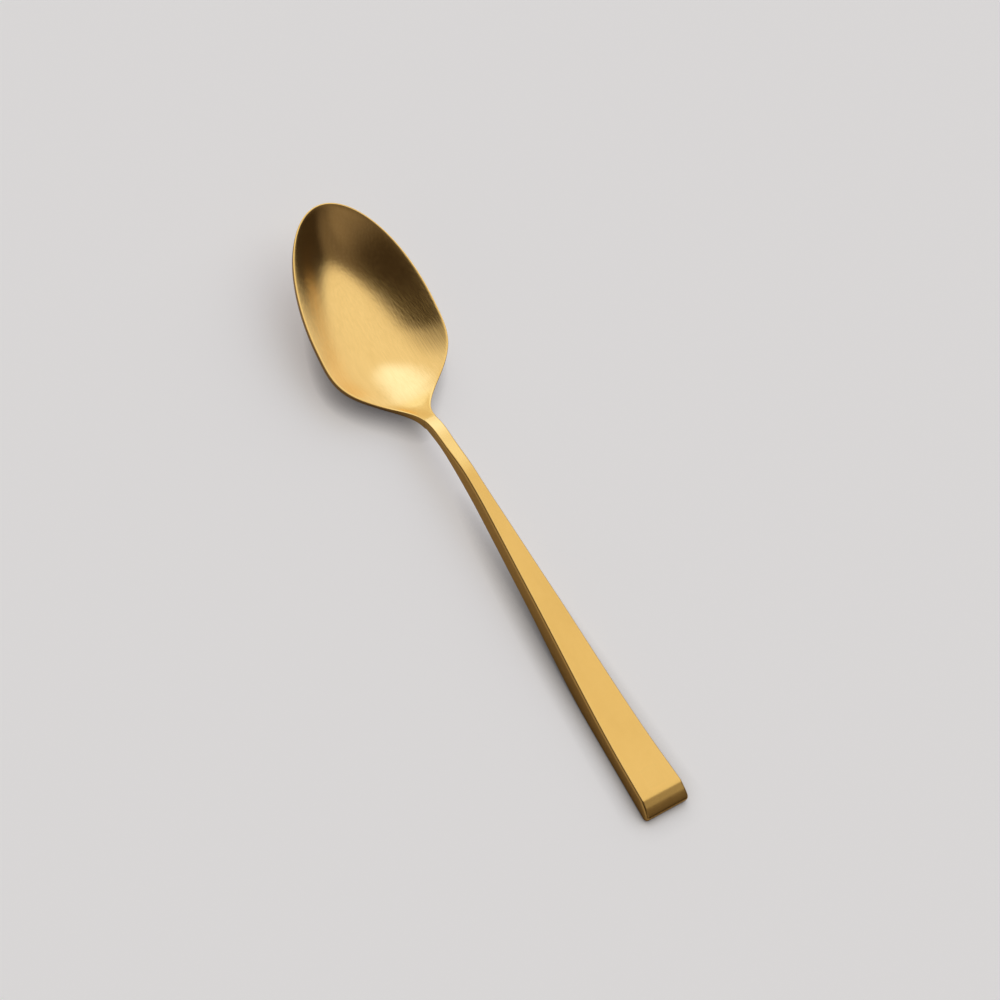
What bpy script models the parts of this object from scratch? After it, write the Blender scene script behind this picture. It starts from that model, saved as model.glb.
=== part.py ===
"""Teaspoon in brushed, gold-coloured steel: a pressed bowl joined to a forged handle.

+X runs from the tip of the bowl to the end of the handle and +Z is up. The spoon lies
on Z = 0, on the belly of its bowl and on the flat foot under the handle's end, and the
origin is under the middle of its length. Stations are distances along X from the tip,
and runs are distances along X from the joint between the bowl and the handle, which
are negative towards the tip.
"""
import math

import bmesh
import bpy

MM = 0.001

# Length of the whole spoon, and of its bowl up to the joint
OVERALL_LENGTH = 140.0 * MM
BOWL_LENGTH = 48.0 * MM

# Outline of the bowl, seen from above
BOWL_WIDTH = 30.4 * MM
WIDEST_STATION = 26.4 * MM
SHOULDER_OVERRUN = 1.7 * MM
TIP_FULLNESS = 0.505
SHOULDER_ROUNDNESS = 3.65
SHOULDER_SOFTNESS = 3.85

# Hollow of the bowl, and its shallow tail that ends crisply at the neck
BOWL_DEPTH = 5.4 * MM
DEEPEST_STATION = 24.8 * MM
RIM_EASE = 0.30
RIM_EASE_FALL = 0.32
TIP_STEEPNESS = 0.72
RUN_OUT_ROUNDNESS = 3.2
RUN_OUT_SOFTNESS = 4.0
TAIL_DEPTH = 0.35 * MM
TAIL_LENGTH = 7.5 * MM

# Wall and rim of the bowl
BOWL_WALL = 2.0 * MM
RIM_EDGE_HEIGHT = 1.3 * MM
RIM_LAND = 0.3 * MM
RIM_ROUND = 0.15 * MM
RIM_PITCH = math.radians(13.6)

# Side view of the neck and the handle: where the top bends, and its height above the table
RIM_END_RUN = -7.1 * MM
DIP_RUN = -3.5 * MM
DIP_RISE = 0.1 * MM
RISE_RUN = 2.0 * MM
RISE_HEIGHT = 7.0 * MM
KNEE_RUN = 7.0 * MM
KNEE_HEIGHT = 7.5 * MM
CREST_RUN = 14.6 * MM
CREST_HEIGHT = 8.0 * MM
MIDDLE_HEIGHT = 6.0 * MM
FOOT_HEIGHT = 3.1 * MM

# Thickness of the neck and the handle
NECK_THICKNESS = 1.95 * MM
CREST_THICKNESS = 3.0 * MM
MIDDLE_THICKNESS = 3.5 * MM

# Outline of the handle, seen from above, and the rounding of its long edges
NECK_WIDTH = 3.0 * MM
FLARE_RUN = 17.8 * MM
FLARE_BLEND = 5.0 * MM
END_WIDTH = 11.25 * MM
EDGE_RADIUS = 0.6 * MM
EDGE_GROWTH_LENGTH = 9.0 * MM
EDGE_LIMIT = 0.4

# Flat foot and level top at the end, and the nose: a sloping facet that rolls over to its tip
FOOT_LENGTH = 18.8 * MM
LEVEL_LENGTH = 5.8 * MM
NOSE_LENGTH = 3.8 * MM
NOSE_FACET = 1.7 * MM
NOSE_TILT = math.radians(18.0)
NOSE_ROLL = 0.97 * MM
NOSE_TIP_THICKNESS = 0.3 * MM
TOE_LENGTH = 1.2 * MM

# Slanted joint between the bowl and the handle
SCARF_RUN = 1.5 * MM
SCARF_FADE_LENGTH = 7.5 * MM
JOINT_GAP = 0.3 * MM

# Fineness of the facets
BOWL_SPOKES = 72
NECK_SPOKES = 2
BOWL_RINGS = 12
RIM_ROUND_STEPS = 2
HANDLE_SIDES = 24
HANDLE_STEPS = 56
NOSE_STEPS = 10
BELLY_STEPS = 400
SLOPE_STEP = 0.05 * MM
SHARP_ANGLE = math.radians(35.0)

# Finish
GOLD = (0.80, 0.52, 0.17, 1.0)
SATIN_ROUGHNESS = 0.32

# Stations that follow from the sizes above
SHOULDER_END_STATION = BOWL_LENGTH + SHOULDER_OVERRUN
HOLLOW_END_STATION = BOWL_LENGTH - RIM_LAND
RIM_END_STATION = BOWL_LENGTH + RIM_END_RUN
DIP_STATION = BOWL_LENGTH + DIP_RUN
RISE_STATION = BOWL_LENGTH + RISE_RUN
KNEE_STATION = BOWL_LENGTH + KNEE_RUN
CREST_STATION = BOWL_LENGTH + CREST_RUN
FLARE_STATION = BOWL_LENGTH + FLARE_RUN
NOSE_STATION = OVERALL_LENGTH - NOSE_LENGTH
LEVEL_STATION = NOSE_STATION - LEVEL_LENGTH
FOOT_STATION = NOSE_STATION - FOOT_LENGTH
MIDDLE_STATION = (CREST_STATION + FOOT_STATION) / 2


def clear_scene():
    for thing in list(bpy.data.objects):
        bpy.data.objects.remove(thing, do_unlink=True)


def blend(start, end, share):
    """A soft step from start to end as share goes from 0 to 1."""
    share = min(max(share, 0.0), 1.0)
    return start + (end - start) * share * share * (3.0 - 2.0 * share)


def curve_height(knots, first_slope, station):
    """Height at a station of a smooth curve through knots, level after the last one."""
    if station >= knots[-1][0]:
        return knots[-1][1]
    slopes = [first_slope]
    for before, after in zip(knots, knots[2:]):
        slopes.append((after[1] - before[1]) / (after[0] - before[0]))
    slopes.append(0.0)
    piece = max(i for i in range(len(knots) - 1) if knots[i][0] <= max(station, knots[0][0]))
    (start, low), (end, high) = knots[piece], knots[piece + 1]
    length = end - start
    t = (station - start) / length
    rise = t * t * (3.0 - 2.0 * t)
    leaving = t * (1.0 - t) ** 2 * slopes[piece]
    arriving = t * t * (1.0 - t) * slopes[piece + 1]
    return low + (high - low) * rise + length * (leaving - arriving)


# Outline seen from above

def half_width(station):
    """Half of the spoon's width: egg-shaped bowl, slim neck, flared handle."""
    if station < WIDEST_STATION:
        reach = (WIDEST_STATION - station) / WIDEST_STATION
        return BOWL_WIDTH / 2 * max(1.0 - reach ** 2, 0.0) ** TIP_FULLNESS
    if station < SHOULDER_END_STATION:
        reach = (station - WIDEST_STATION) / (SHOULDER_END_STATION - WIDEST_STATION)
        swell = (1.0 - reach ** SHOULDER_ROUNDNESS) ** SHOULDER_SOFTNESS
        return NECK_WIDTH / 2 + (BOWL_WIDTH - NECK_WIDTH) / 2 * swell
    past = station - FLARE_STATION
    if past < -FLARE_BLEND:
        past = 0.0
    elif past < FLARE_BLEND:
        past = (past + FLARE_BLEND) ** 2 / (4.0 * FLARE_BLEND)
    flare = (END_WIDTH - NECK_WIDTH) / (OVERALL_LENGTH - FLARE_STATION)
    return (NECK_WIDTH + flare * past) / 2


def hollow_half_width(station):
    """Half of the width of the hollow, which leaves an even land round it."""
    if station < WIDEST_STATION:
        reach = (WIDEST_STATION - station) / (WIDEST_STATION - RIM_LAND)
        return (BOWL_WIDTH / 2 - RIM_LAND) * max(1.0 - reach ** 2, 0.0) ** TIP_FULLNESS
    slope = (half_width(station + SLOPE_STEP) - half_width(station)) / SLOPE_STEP
    return half_width(station) - RIM_LAND * math.hypot(1.0, slope)


# Side view

def depth_along(station, start):
    """Share of the greatest depth on the middle line, for a hollow that starts at a station."""
    if station < DEEPEST_STATION:
        back = min((DEEPEST_STATION - station) / (DEEPEST_STATION - start), 1.0)
        return 1.0 - (1.0 - TIP_STEEPNESS) * back ** 2 - TIP_STEEPNESS * back ** 4
    past = min((station - DEEPEST_STATION) / (HOLLOW_END_STATION - DEEPEST_STATION), 1.0)
    return (1.0 - past ** RUN_OUT_ROUNDNESS) ** RUN_OUT_SOFTNESS


def depth_across(across, ease):
    """Share of the depth on the middle line: across is 0 there and 1 at the rim."""
    across = min(across, 1.0)
    return 1.0 - (1.0 + ease) * across ** 2 + ease * across ** 4


def rim_ease(station):
    """How much the hollow eases off towards the rim: most at the tip, not at all at the neck."""
    past = (station - DEEPEST_STATION) / (HOLLOW_END_STATION - DEEPEST_STATION)
    return max(RIM_EASE - RIM_EASE_FALL * past, 0.0)


def tail_share(station):
    """Share of the tail's depth: it starts softly and rises straight to its crisp end."""
    past = 1.0 - (HOLLOW_END_STATION - station) / TAIL_LENGTH
    if past <= 0.0 or past >= 1.0:
        return 0.0
    return blend(0.0, 1.0, 2.0 * past) * min(2.0 * (1.0 - past), 1.0)


def belly_drop(share):
    """How far the underside of the bowl is below the rim where the hollow has a share of its depth."""
    return RIM_EDGE_HEIGHT + (BOWL_DEPTH + BOWL_WALL - RIM_EDGE_HEIGHT) * share


def rim_height_at_tip():
    """Height of the rim at the tip that lets the belly just touch the table."""
    lift = 0.0
    for step in range(BELLY_STEPS + 1):
        station = RIM_END_STATION * step / BELLY_STEPS
        lift = max(lift, belly_drop(depth_along(station, 0.0)) + math.tan(RIM_PITCH) * station)
    return lift


RIM_TIP_HEIGHT = rim_height_at_tip()
RIM_SLOPE = -math.tan(RIM_PITCH)


def rim_plane(station):
    return RIM_TIP_HEIGHT + RIM_SLOPE * station


def top_height(station):
    """Top of the spoon: the rim's plane, the dip and rise of the neck, then the handle."""
    if station < RIM_END_STATION:
        return rim_plane(station)
    knots = [
        (RIM_END_STATION, rim_plane(RIM_END_STATION)),
        (DIP_STATION, rim_plane(RIM_END_STATION) + DIP_RISE),
        (RISE_STATION, RISE_HEIGHT),
        (KNEE_STATION, KNEE_HEIGHT),
        (CREST_STATION, CREST_HEIGHT),
        (MIDDLE_STATION, MIDDLE_HEIGHT),
        (LEVEL_STATION, FOOT_HEIGHT),
    ]
    return curve_height(knots, RIM_SLOPE, station)


def bottom_height(station):
    """Underside of the handle: follows the top by its thickness, then levels out as the foot."""
    knots = [
        (BOWL_LENGTH, top_height(BOWL_LENGTH) - NECK_THICKNESS),
        (RISE_STATION, RISE_HEIGHT - NECK_THICKNESS),
        (KNEE_STATION, KNEE_HEIGHT - NECK_THICKNESS),
        (CREST_STATION, CREST_HEIGHT - CREST_THICKNESS),
        (MIDDLE_STATION, MIDDLE_HEIGHT - MIDDLE_THICKNESS),
        (FOOT_STATION, 0.0),
    ]
    first_slope = (knots[1][1] - knots[0][1]) / (knots[1][0] - knots[0][0])
    return curve_height(knots, first_slope, station)


def edge_height(station):
    """Height of the bowl's trimmed edge, which thickens into the neck."""
    share = (station - RIM_END_STATION) / (BOWL_LENGTH - RIM_END_STATION)
    return blend(RIM_EDGE_HEIGHT, NECK_THICKNESS, share)


# Bowl

def neck_count(spoke):
    """How many spokes a spoke is away from the one in the middle of the neck."""
    return min(spoke, BOWL_SPOKES - spoke)


def outline_point(spoke, start, end, width_at):
    """Point of an outline on a spoke: spoke 0 is the middle of the neck, half way is the tip."""
    half = BOWL_SPOKES // 2
    side = 1.0 if spoke <= half else -1.0
    count = neck_count(spoke)
    if count <= NECK_SPOKES:
        return end, side * width_at(end) * count / NECK_SPOKES
    share = (half - count) / (half - NECK_SPOKES)
    closing_in = (1.0 - math.cos(math.pi * share)) / 2
    running_out = 1.0 - math.cos(math.pi / 2 * share)
    station = start + (end - start) * (closing_in + running_out) / 2
    return station, side * width_at(station)


def bowl_top(spoke, reach, on_land):
    """Point of the bowl's upper surface: the hollow, or the flat land round it."""
    if on_land:
        x, y = outline_point(spoke, 0.0, BOWL_LENGTH, half_width)
        return x, y, top_height(x)
    edge_x, edge_y = outline_point(spoke, RIM_LAND, HOLLOW_END_STATION, hollow_half_width)
    x = DEEPEST_STATION + (edge_x - DEEPEST_STATION) * reach
    y = edge_y * reach
    across = abs(y) / max(hollow_half_width(x), RIM_LAND) if reach < 1.0 else 1.0
    drop = BOWL_DEPTH * depth_along(x, RIM_LAND) * depth_across(across, rim_ease(x))
    drop += TAIL_DEPTH * tail_share(x) * depth_across(across, 0.0)
    return x, y, top_height(x) - drop


def bowl_underside(spoke, reach):
    """Point of the bowl's underside, which runs on below the joint's slant."""
    edge_x, edge_y = outline_point(spoke, 0.0, BOWL_LENGTH + SCARF_RUN, half_width)
    x = DEEPEST_STATION + (edge_x - DEEPEST_STATION) * reach
    y = edge_y * reach
    across = abs(y) / max(half_width(x), RIM_LAND) if reach < 1.0 else 1.0
    share = depth_along(x, 0.0) * depth_across(across, 0.0)
    return x, y, top_height(x) - belly_drop(share) + RIM_EDGE_HEIGHT - edge_height(x)


def build_bowl():
    """A half sphere whose rings become the hollow, edged by a land and doubled into a shell."""
    mesh = bmesh.new()
    bmesh.ops.create_uvsphere(mesh, u_segments=BOWL_SPOKES, v_segments=2 * BOWL_RINGS, radius=1.0)
    upper_half = [v for v in mesh.verts if v.co.z > 1e-4]
    bmesh.ops.delete(mesh, geom=upper_half, context="VERTS")
    spoke_of = mesh.verts.layers.int.new("spoke")
    land_of = mesh.verts.layers.int.new("land")
    reach_of = mesh.verts.layers.float.new("reach")
    for vert in mesh.verts:
        turn = math.atan2(vert.co.y, vert.co.x) / (2.0 * math.pi)
        vert[spoke_of] = round(turn * BOWL_SPOKES) % BOWL_SPOKES
        vert[reach_of] = min(math.hypot(vert.co.x, vert.co.y), 1.0)

    rim = [edge for edge in mesh.edges if edge.is_boundary]
    land = bmesh.ops.extrude_edge_only(mesh, edges=rim)["geom"]
    for vert in [item for item in land if isinstance(item, bmesh.types.BMVert)]:
        vert[land_of] = 1

    upper = set(mesh.verts)
    bmesh.ops.extrude_face_region(mesh, geom=mesh.faces[:], use_keep_orig=True)
    for vert in mesh.verts:
        spoke, reach, on_land = vert[spoke_of], vert[reach_of], vert[land_of]
        if vert in upper:
            vert.co = bowl_top(spoke, reach, on_land)
        else:
            share = 1.0 if on_land else reach * (1.0 - 1.0 / BOWL_RINGS)
            vert.co = bowl_underside(spoke, share)
    weight_of = mesh.edges.layers.float.new("bevel_weight_edge")
    for edge in mesh.edges:
        on_outline = all(vert[land_of] for vert in edge.verts)
        level = (edge.verts[0] in upper) == (edge.verts[1] in upper)
        across_neck = all(neck_count(vert[spoke_of]) <= NECK_SPOKES for vert in edge.verts)
        if on_outline and level and not across_neck:
            edge[weight_of] = 1.0
    return mesh


# Handle

def nose_drop(station):
    """How far the top has dropped on the nose: its facet first, then the roll down to the tip."""
    past = max(station - NOSE_STATION, 0.0)
    rolled = min(max((past - NOSE_FACET) / (NOSE_LENGTH - NOSE_FACET), 0.0), 1.0)
    return past * math.tan(NOSE_TILT) + NOSE_ROLL * (1.0 - math.sqrt(1.0 - rolled ** 2))


def handle_section(station):
    """Half width, bottom and top of the handle at a station."""
    tip_low = FOOT_HEIGHT - nose_drop(OVERALL_LENGTH) - NOSE_TIP_THICKNESS
    toe = min(max(1.0 - (OVERALL_LENGTH - station) / TOE_LENGTH, 0.0), 1.0)
    low = bottom_height(station) + tip_low * (1.0 - math.sqrt(1.0 - toe ** 2))
    return half_width(station), low, top_height(station) - nose_drop(station)


def edge_radius(station, thickness):
    """Radius of the long edges: as small as the rim's at the joint, then growing."""
    share = min(max((station - BOWL_LENGTH) / EDGE_GROWTH_LENGTH, 0.0), 1.0)
    return min(RIM_ROUND + (EDGE_RADIUS - RIM_ROUND) * share, thickness * EDGE_LIMIT)


def handle_station(step):
    """Stations are even along the handle and close up round the nose."""
    start = BOWL_LENGTH + JOINT_GAP
    if step <= HANDLE_STEPS:
        return start + (NOSE_STATION - start) * step / HANDLE_STEPS
    turn = math.pi / 2 * (step - HANDLE_STEPS) / NOSE_STEPS
    return NOSE_STATION + NOSE_LENGTH * math.sin(turn)


def handle_point(station, corner, angle):
    """Point on a rounded corner of the section at a station, slanted near the joint."""
    side = 1.0 if corner in (0, 3) else -1.0
    up = 1.0 if corner in (0, 1) else -1.0
    fade = max(1.0 - (station - BOWL_LENGTH) / SCARF_FADE_LENGTH, 0.0)
    station += SCARF_RUN * fade * (1.0 - up) / 2
    half, low, high = handle_section(station)
    radius = edge_radius(station, high - low)
    y = side * (half - radius) + radius * math.cos(angle)
    z = (low + high) / 2 + up * ((high - low) / 2 - radius) + radius * math.sin(angle)
    return station, y, z


def build_handle():
    """A round bar whose rings are forged to rounded rectangles, one for each station."""
    steps = HANDLE_STEPS + NOSE_STEPS
    mesh = bmesh.new()
    bmesh.ops.create_cone(
        mesh, cap_ends=True, segments=HANDLE_SIDES, radius1=1.0, radius2=1.0, depth=1.0)
    lengthwise = [e for e in mesh.edges if abs(e.verts[0].co.z - e.verts[1].co.z) > 0.5]
    bmesh.ops.subdivide_edges(mesh, edges=lengthwise, cuts=steps - 1)
    corner_points = HANDLE_SIDES // 4
    for vert in mesh.verts:
        step = round((vert.co.z + 0.5) * steps)
        place = round(math.atan2(vert.co.y, vert.co.x) / (2.0 * math.pi) * HANDLE_SIDES)
        corner, point = divmod(place % HANDLE_SIDES, corner_points)
        angle = math.pi / 2 * (corner + point / (corner_points - 1))
        vert.co = handle_point(handle_station(step), corner, angle)
    return mesh


# Assembly

def gold_steel(name):
    material = bpy.data.materials.new(name)
    material.use_nodes = True
    principled = material.node_tree.nodes["Principled BSDF"]
    principled.inputs["Base Color"].default_value = GOLD
    principled.inputs["Metallic"].default_value = 1.0
    principled.inputs["Roughness"].default_value = SATIN_ROUGHNESS
    return material


def add_piece(name, mesh, material, collection, parent):
    """Close a shaped mesh, set it about the origin and add it to the spoon."""
    bmesh.ops.translate(mesh, verts=mesh.verts, vec=(-OVERALL_LENGTH / 2, 0.0, 0.0))
    bmesh.ops.recalc_face_normals(mesh, faces=mesh.faces)
    data = bpy.data.meshes.new(name)
    mesh.to_mesh(data)
    mesh.free()
    data.shade_smooth()
    data.set_sharp_from_angle(angle=SHARP_ANGLE)
    data.materials.append(material)
    piece = bpy.data.objects.new(name, data)
    piece.parent = parent
    collection.objects.link(piece)
    return piece


def main():
    clear_scene()
    collection = bpy.data.collections.new("teaspoon")
    bpy.context.scene.collection.children.link(collection)
    root = bpy.data.objects.new("teaspoon_root", None)
    collection.objects.link(root)
    bowl_finish = gold_steel("brushed_gold_bowl")
    handle_finish = gold_steel("satin_gold_handle")
    bowl = add_piece("bowl", build_bowl(), bowl_finish, collection, root)
    rounded_rim = bowl.modifiers.new("rounded_rim", "BEVEL")
    rounded_rim.limit_method = "WEIGHT"
    rounded_rim.width = RIM_ROUND
    rounded_rim.segments = RIM_ROUND_STEPS
    add_piece("handle", build_handle(), handle_finish, collection, root)


main()
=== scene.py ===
# %% [markdown]
# # A brushed gold teaspoon
# The spoon comes in as two plain solids, a bowl and a handle, that already have their real size and
# place. This lesson gives them their fine shape and their finish: a pressed bowl with a crisp rim, a
# forged handle with soft edges, and a coat of gold that is brushed lengthwise. The solids stay where
# they are, because everything that is added below is measured from them. The bowl is drawn a tenth of
# a millimetre wider on each side, because the round on its rim makes it look narrower.

# %% Load the solids and measure them
import math

import bpy
from mathutils import Matrix, Vector


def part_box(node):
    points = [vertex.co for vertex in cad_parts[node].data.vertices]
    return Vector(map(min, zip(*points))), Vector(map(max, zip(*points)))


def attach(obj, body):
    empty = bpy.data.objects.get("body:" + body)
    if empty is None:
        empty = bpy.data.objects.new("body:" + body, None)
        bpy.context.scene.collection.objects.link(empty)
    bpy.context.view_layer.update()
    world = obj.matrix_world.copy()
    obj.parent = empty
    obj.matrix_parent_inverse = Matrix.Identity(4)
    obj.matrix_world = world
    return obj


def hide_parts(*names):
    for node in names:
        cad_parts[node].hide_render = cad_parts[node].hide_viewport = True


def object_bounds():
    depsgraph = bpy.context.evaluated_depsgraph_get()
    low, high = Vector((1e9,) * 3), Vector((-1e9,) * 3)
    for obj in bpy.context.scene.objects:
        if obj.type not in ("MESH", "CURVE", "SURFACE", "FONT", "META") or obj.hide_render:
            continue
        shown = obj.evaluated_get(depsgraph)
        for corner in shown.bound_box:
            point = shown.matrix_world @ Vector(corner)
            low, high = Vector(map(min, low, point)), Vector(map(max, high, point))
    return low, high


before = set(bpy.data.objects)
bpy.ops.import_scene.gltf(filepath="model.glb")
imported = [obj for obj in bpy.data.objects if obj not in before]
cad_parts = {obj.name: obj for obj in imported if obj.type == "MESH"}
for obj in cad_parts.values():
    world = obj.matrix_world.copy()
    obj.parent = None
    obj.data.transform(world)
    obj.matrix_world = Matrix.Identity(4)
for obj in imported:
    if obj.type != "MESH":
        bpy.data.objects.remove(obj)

MM = 0.001
RIM_SPREAD = 0.1 * MM
cad_low, cad_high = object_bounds()
OVERALL_LENGTH = cad_high.x - cad_low.x
BOWL_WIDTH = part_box("bowl")[1].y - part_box("bowl")[0].y + 2 * RIM_SPREAD
END_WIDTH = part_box("handle")[1].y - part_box("handle")[0].y
print("spoon", round(OVERALL_LENGTH / MM, 2), "mm long, bowl", round(BOWL_WIDTH / MM, 2), "mm wide")

# %% [markdown]
# ## The outline from above
# A spoon is cut from sheet before it is pressed, and its outline does most of the work of making it
# look right. The tip is a little fuller than an ellipse. The shoulders run into the neck in one long
# curve, and the handle then flares in straight lines to its end. Three formulas draw all of it, which
# gives smoother edges than points placed by eye. Places along the spoon are stations: distances from
# the tip of the bowl, as a smith would mark them on a bar.

# %% Outline sizes and formula
BOWL_LENGTH = 48.0 * MM
WIDEST_STATION = 26.4 * MM
SHOULDER_END_STATION = BOWL_LENGTH + 1.7 * MM
TIP_FULLNESS = 0.505
SHOULDER_ROUNDNESS = 3.65
SHOULDER_SOFTNESS = 3.85
NECK_WIDTH = 3.0 * MM
FLARE_STATION = BOWL_LENGTH + 17.8 * MM
FLARE_BLEND = 5.0 * MM


def half_width(station):
    """Half of the spoon's width at a station."""
    if station < WIDEST_STATION:
        reach = (WIDEST_STATION - station) / WIDEST_STATION
        return BOWL_WIDTH / 2 * max(1.0 - reach ** 2, 0.0) ** TIP_FULLNESS
    if station < SHOULDER_END_STATION:
        reach = (station - WIDEST_STATION) / (SHOULDER_END_STATION - WIDEST_STATION)
        swell = (1.0 - reach ** SHOULDER_ROUNDNESS) ** SHOULDER_SOFTNESS
        return NECK_WIDTH / 2 + (BOWL_WIDTH - NECK_WIDTH) / 2 * swell
    past = station - FLARE_STATION
    if past < -FLARE_BLEND:
        past = 0.0
    elif past < FLARE_BLEND:
        past = (past + FLARE_BLEND) ** 2 / (4.0 * FLARE_BLEND)
    flare = (END_WIDTH - NECK_WIDTH) / (OVERALL_LENGTH - FLARE_STATION)
    return (NECK_WIDTH + flare * past) / 2


print("neck is", round(2 * half_width(BOWL_LENGTH) / MM, 2), "mm wide at the joint")

# %% [markdown]
# ## The side view
# Seen from the side the rim slopes down from the tip, the neck dips and rises, and the handle runs in
# a long low arch to a foot that lies flat on the table. A curve through a few heights, with the slope
# at each taken from its neighbours, bends as a springy strip would.

# %% Side view sizes and the springy curve
RIM_PITCH = math.radians(13.6)
RIM_SLOPE = -math.tan(RIM_PITCH)
RIM_END_STATION = BOWL_LENGTH - 7.1 * MM
DIP_STATION, DIP_RISE = BOWL_LENGTH - 3.5 * MM, 0.1 * MM
RISE_STATION, RISE_HEIGHT = BOWL_LENGTH + 2.0 * MM, 7.0 * MM
KNEE_STATION, KNEE_HEIGHT = BOWL_LENGTH + 7.0 * MM, 7.5 * MM
CREST_STATION, CREST_HEIGHT = BOWL_LENGTH + 14.6 * MM, 8.0 * MM
NOSE_LENGTH = 3.8 * MM
NOSE_STATION = OVERALL_LENGTH - NOSE_LENGTH
LEVEL_STATION = NOSE_STATION - 5.8 * MM
FOOT_STATION, FOOT_HEIGHT = NOSE_STATION - 18.8 * MM, 3.1 * MM
MIDDLE_STATION, MIDDLE_HEIGHT = (CREST_STATION + FOOT_STATION) / 2, 6.0 * MM
NECK_THICKNESS = 1.95 * MM
CREST_THICKNESS = 3.0 * MM
MIDDLE_THICKNESS = 3.5 * MM


def eased(share):
    """A share that leaves 0 softly and reaches 1 softly."""
    return share * share * (3.0 - 2.0 * share)


def curve_height(knots, first_slope, station):
    """Height at a station of a smooth curve through knots, level after the last one."""
    if station >= knots[-1][0]:
        return knots[-1][1]
    slopes = [first_slope]
    for before, after in zip(knots, knots[2:]):
        slopes.append((after[1] - before[1]) / (after[0] - before[0]))
    slopes.append(0.0)
    piece = max(i for i in range(len(knots) - 1) if knots[i][0] <= max(station, knots[0][0]))
    (start, low), (end, high) = knots[piece], knots[piece + 1]
    length = end - start
    t = (station - start) / length
    leaving = t * (1.0 - t) ** 2 * slopes[piece]
    arriving = t * t * (1.0 - t) * slopes[piece + 1]
    return low + (high - low) * eased(t) + length * (leaving - arriving)


print("crest is", round(CREST_HEIGHT / MM, 2), "mm high, foot", round(FOOT_HEIGHT / MM, 2), "mm thick")

# %% [markdown]
# ## The hollow
# The bowl is pressed between two dies. Across the spoon its hollow is a parabola that eases off
# towards the rim. Along the spoon it is flat in the middle, steep at the tip, and runs out softly
# towards the neck, where a shallow tail ends in a crisp line.

# %% Hollow sizes and formulas
BOWL_DEPTH = 5.4 * MM
DEEPEST_STATION = 24.8 * MM
RIM_LAND = 0.3 * MM
RIM_EASE = 0.30
RIM_EASE_FALL = 0.32
TIP_STEEPNESS = 0.72
RUN_OUT_ROUNDNESS = 3.2
RUN_OUT_SOFTNESS = 4.0
TAIL_DEPTH = 0.35 * MM
TAIL_LENGTH = 7.5 * MM
TAIL_PEAK = 0.5
HOLLOW_END_STATION = BOWL_LENGTH - RIM_LAND


def depth_along(station, start):
    """Share of the greatest depth on the middle line, for a hollow that starts at a station."""
    if station < DEEPEST_STATION:
        back = min((DEEPEST_STATION - station) / (DEEPEST_STATION - start), 1.0)
        return 1.0 - (1.0 - TIP_STEEPNESS) * back ** 2 - TIP_STEEPNESS * back ** 4
    past = min((station - DEEPEST_STATION) / (HOLLOW_END_STATION - DEEPEST_STATION), 1.0)
    return (1.0 - past ** RUN_OUT_ROUNDNESS) ** RUN_OUT_SOFTNESS


def depth_across(across, ease):
    """Share of the depth on the middle line: across is 0 there and 1 at the rim."""
    across = min(across, 1.0)
    return 1.0 - (1.0 + ease) * across ** 2 + ease * across ** 4


def rim_ease(station):
    """How much the hollow eases off towards the rim: most at the tip, not at all at the neck."""
    past = (station - DEEPEST_STATION) / (HOLLOW_END_STATION - DEEPEST_STATION)
    return max(RIM_EASE - RIM_EASE_FALL * past, 0.0)


def tail_share(station):
    """Share of the tail's depth: it starts softly and rises straight to its crisp end."""
    past = 1.0 - (HOLLOW_END_STATION - station) / TAIL_LENGTH
    if past <= 0.0 or past >= 1.0:
        return 0.0
    growing = min(past / TAIL_PEAK, 1.0)
    shrinking = min((1.0 - past) / (1.0 - TAIL_PEAK), 1.0)
    return eased(growing) * shrinking


print("hollow is", round(BOWL_DEPTH / MM, 2), "mm deep", round(DEEPEST_STATION / MM, 2), "mm from the tip")

# %% [markdown]
# ## The belly and the height of the rim
# The underside follows the hollow with a plain parabola, so that the wall is a little thicker in the
# middle than at the rim. The height of the rim is no free choice: the belly has to touch the table, so
# the rim is raised until the lowest place of the belly is at zero.

# %% Raise the rim until the belly just touches the table
BOWL_WALL = 2.0 * MM
RIM_EDGE_HEIGHT = 1.3 * MM
BELLY_STEPS = 400


def belly_drop(share):
    """How far the underside is below the rim where the hollow has a share of its depth."""
    return RIM_EDGE_HEIGHT + (BOWL_DEPTH + BOWL_WALL - RIM_EDGE_HEIGHT) * share


belly_stations = [RIM_END_STATION * step / BELLY_STEPS for step in range(BELLY_STEPS + 1)]
RIM_TIP_HEIGHT = max(belly_drop(depth_along(s, 0.0)) - RIM_SLOPE * s for s in belly_stations)
print("rim stands", round(RIM_TIP_HEIGHT / MM, 2), "mm above the table at the tip")

# %% [markdown]
# ## One top and one underside
# With the rim's height known, the top of the whole spoon is one line: the rim's plane, the neck and
# the handle. The underside of the handle keeps its thickness below that line until it reaches the
# table. The same line serves both pieces, so they meet flush at the joint.

# %% Heights of the top and the underside


def limited(share):
    """A share that is kept between 0 and 1."""
    return min(max(share, 0.0), 1.0)


def top_height(station):
    """Top of the spoon: the rim's plane, the dip and rise of the neck, then the handle."""
    rim_end_height = RIM_TIP_HEIGHT + RIM_SLOPE * RIM_END_STATION
    if station < RIM_END_STATION:
        return RIM_TIP_HEIGHT + RIM_SLOPE * station
    knots = [
        (RIM_END_STATION, rim_end_height),
        (DIP_STATION, rim_end_height + DIP_RISE),
        (RISE_STATION, RISE_HEIGHT),
        (KNEE_STATION, KNEE_HEIGHT),
        (CREST_STATION, CREST_HEIGHT),
        (MIDDLE_STATION, MIDDLE_HEIGHT),
        (LEVEL_STATION, FOOT_HEIGHT),
    ]
    return curve_height(knots, RIM_SLOPE, station)


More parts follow.
